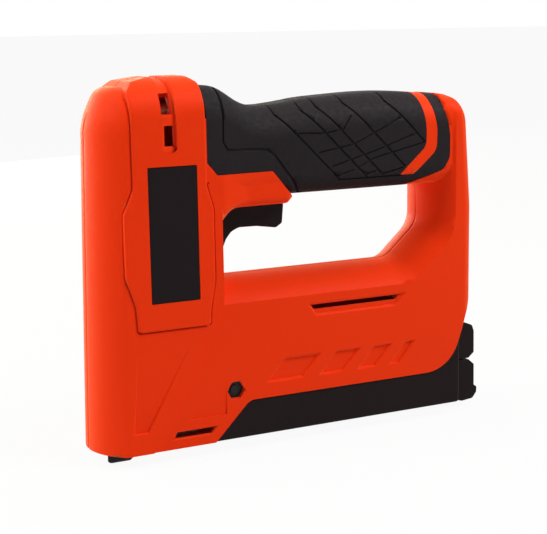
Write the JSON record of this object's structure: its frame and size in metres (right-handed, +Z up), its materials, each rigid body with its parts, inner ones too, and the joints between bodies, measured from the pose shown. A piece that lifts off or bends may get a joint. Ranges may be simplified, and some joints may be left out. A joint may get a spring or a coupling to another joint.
{
  "type": "cordless stapler",
  "caption": "Hand held cordless stapler: moulded D-frame housing with rubber grip, trigger, slide-out staple magazine, contact foot, motor with planetary gears and sprung hammer.",
  "frame": {"origin": "where the staple leaves the nose, level with the underside of the contact foot", "axes": "+X to the rear of the tool, +Y to its right-hand side, +Z up away from the work"},
  "size_m": [0.1871, 0.042, 0.1583],
  "materials": {
    "orange_plastic": "satin moulded",
    "black_rubber": "soft matt overmould",
    "black_plastic": "fine grained moulded",
    "label_film": "satin film, bare",
    "bright_steel": "bright zinc plated",
    "dark_steel": "hardened, dark",
    "spring_steel": "drawn wire",
    "brass_gear": "cut",
    "copper_winding": "varnished winding",
    "sintered_gear": "sintered",
    "white_plastic": "moulded",
    "cell_wrap": "shrink sleeve",
    "circuit_green": "solder mask",
    "wire_red": "wire cover",
    "wire_black": "wire cover",
    "magnet_grey": "ferrite",
    "zinc_screw": "black oxide"
  },
  "bodies": {
    "housing": {"left_shell": "orange_plastic", "right_shell": "orange_plastic", "left_grip": "black_rubber", "right_grip": "black_rubber", "label_plate": "label_film", "magazine_base": "black_plastic", "magazine_channel": "bright_steel", "contact_spring": "spring_steel", "safety_switch": "black_plastic", "nose_plate": "bright_steel", "hammer_guide": "bright_steel", "bumper": "black_rubber", "drive_spring": "spring_steel", "spring_seat": "dark_steel", "spring_rod": "bright_steel", "gear_case": "dark_steel", "gear_cover": "dark_steel", "motor_can": "bright_steel", "motor_magnets": "magnet_grey", "motor_end": "white_plastic", "trigger_pin": "bright_steel", "trigger_spring": "spring_steel", "trigger_switch": "black_plastic", "battery_cell": "cell_wrap", "battery_strips": "bright_steel", "circuit_board": "circuit_green", "charge_socket": "bright_steel", "motor_wires": "wire_red", "battery_wires": "wire_red", "switch_wires": "wire_black", "safety_wire": "wire_black", "housing_screws": "zinc_screw", "clamp_bolt": "zinc_screw", "clamp_nut": "zinc_screw"},
    "magazine": {"magazine_rail": "bright_steel", "magazine_end": "black_plastic", "latch_pin": "bright_steel", "latch_spring": "spring_steel"},
    "latch": {"latch_lever": "black_plastic"},
    "feeder": {"pusher": "black_plastic", "pusher_spring": "spring_steel"},
    "foot": {"contact_foot": "bright_steel", "contact_link": "bright_steel"},
    "striker": {"hammer": "dark_steel", "driver_blade": "dark_steel"},
    "crank": {"crank": "sintered_gear"},
    "roller": {"crank_roller": "bright_steel"},
    "carrier": {"first_carrier": "sintered_gear"},
    "armature": {"rotor": "copper_winding", "motor_pinion": "brass_gear"},
    "trigger": {"trigger": "black_plastic"},
    "planet_1a": {"planet_1a": "sintered_gear"},
    "planet_1b": {"planet_1b": "sintered_gear"},
    "planet_1c": {"planet_1c": "sintered_gear"},
    "planet_2a": {"planet_2a": "sintered_gear"},
    "planet_2b": {"planet_2b": "sintered_gear"},
    "planet_2c": {"planet_2c": "sintered_gear"}
  },
  "joints": [
    {"name": "magazine_slide", "type": "slide", "parent": "housing", "child": "magazine", "axis": [1, 0, 0], "range_m": [0, 0.095]},
    {"name": "latch_press", "type": "hinge", "parent": "magazine", "child": "latch", "pos_m": [0.1685, 0, 0.0265], "axis": [0, -1, 0], "range_deg": [0, 5], "stiffness_Nm_per_rad": 1.2, "springref_deg": -11.46},
    {"name": "feed_slide", "type": "slide", "parent": "magazine", "child": "feeder", "axis": [1, 0, 0], "range_m": [0, 0.09], "stiffness_N_per_m": 5, "springref_m": -0.5},
    {"name": "foot_press", "type": "slide", "parent": "housing", "child": "foot", "axis": [0, 0, 1], "range_m": [0, 0.004], "stiffness_N_per_m": 900, "springref_m": -0.008, "deforming": ["contact_spring"]},
    {"name": "trigger_pull", "type": "hinge", "parent": "housing", "child": "trigger", "pos_m": [0.0399, 0, 0.0882], "axis": [0, -1, 0], "range_deg": [0, 7], "stiffness_Nm_per_rad": 1.5, "springref_deg": -11.46},
    {"name": "hammer_lift", "type": "slide", "parent": "housing", "child": "striker", "axis": [0, 0, 1], "range_m": [0, 0.01532], "deforming": ["drive_spring"]},
    {"name": "roller_spin", "type": "hinge", "parent": "crank", "child": "roller", "pos_m": [0, 0.00643, 0.03934], "axis": [1, 0, 0], "continuous": true},
    {"name": "crank_turn", "type": "hinge", "parent": "housing", "child": "crank", "pos_m": [0, 0, 0.047], "axis": [1, 0, 0], "range_deg": [0, 103]},
    {"name": "carrier_turn", "type": "hinge", "parent": "housing", "child": "carrier", "pos_m": [0, 0, 0.047], "axis": [1, 0, 0], "range_deg": [0, 480.7]},
    {"name": "armature_turn", "type": "hinge", "parent": "housing", "child": "armature", "pos_m": [0, 0, 0.047], "axis": [1, 0, 0], "range_deg": [0, 2243.1]},
    {"name": "planet_1a_turn", "type": "hinge", "parent": "carrier", "child": "planet_1a", "pos_m": [0, 0.00788, 0.047], "axis": [1, 0, 0], "range_deg": [-1321.8, 0]},
    {"name": "planet_1b_turn", "type": "hinge", "parent": "carrier", "child": "planet_1b", "pos_m": [0, -0.00394, 0.05382], "axis": [1, 0, 0], "range_deg": [-1321.8, 0]},
    {"name": "planet_1c_turn", "type": "hinge", "parent": "carrier", "child": "planet_1c", "pos_m": [0, -0.00394, 0.04018], "axis": [1, 0, 0], "range_deg": [-1321.8, 0]},
    {"name": "planet_2a_turn", "type": "hinge", "parent": "crank", "child": "planet_2a", "pos_m": [0, 0.00788, 0.047], "axis": [1, 0, 0], "range_deg": [-283.2, 0]},
    {"name": "planet_2b_turn", "type": "hinge", "parent": "crank", "child": "planet_2b", "pos_m": [0, -0.00394, 0.05382], "axis": [1, 0, 0], "range_deg": [-283.2, 0]},
    {"name": "planet_2c_turn", "type": "hinge", "parent": "crank", "child": "planet_2c", "pos_m": [0, -0.00394, 0.04018], "axis": [1, 0, 0], "range_deg": [-283.2, 0]}
  ],
  "couplings": [
    {"joint": "crank_turn", "follows": "hammer_lift", "rad_per_m": 113.92},
    {"joint": "carrier_turn", "follows": "hammer_lift", "rad_per_m": 531.62},
    {"joint": "armature_turn", "follows": "hammer_lift", "rad_per_m": 2480.9},
    {"joint": "planet_1a_turn", "follows": "hammer_lift", "rad_per_m": -1462},
    {"joint": "planet_1b_turn", "follows": "hammer_lift", "rad_per_m": -1462},
    {"joint": "planet_1c_turn", "follows": "hammer_lift", "rad_per_m": -1462},
    {"joint": "planet_2a_turn", "follows": "hammer_lift", "rad_per_m": -313.28},
    {"joint": "planet_2b_turn", "follows": "hammer_lift", "rad_per_m": -313.28},
    {"joint": "planet_2c_turn", "follows": "hammer_lift", "rad_per_m": -313.28}
  ]
}
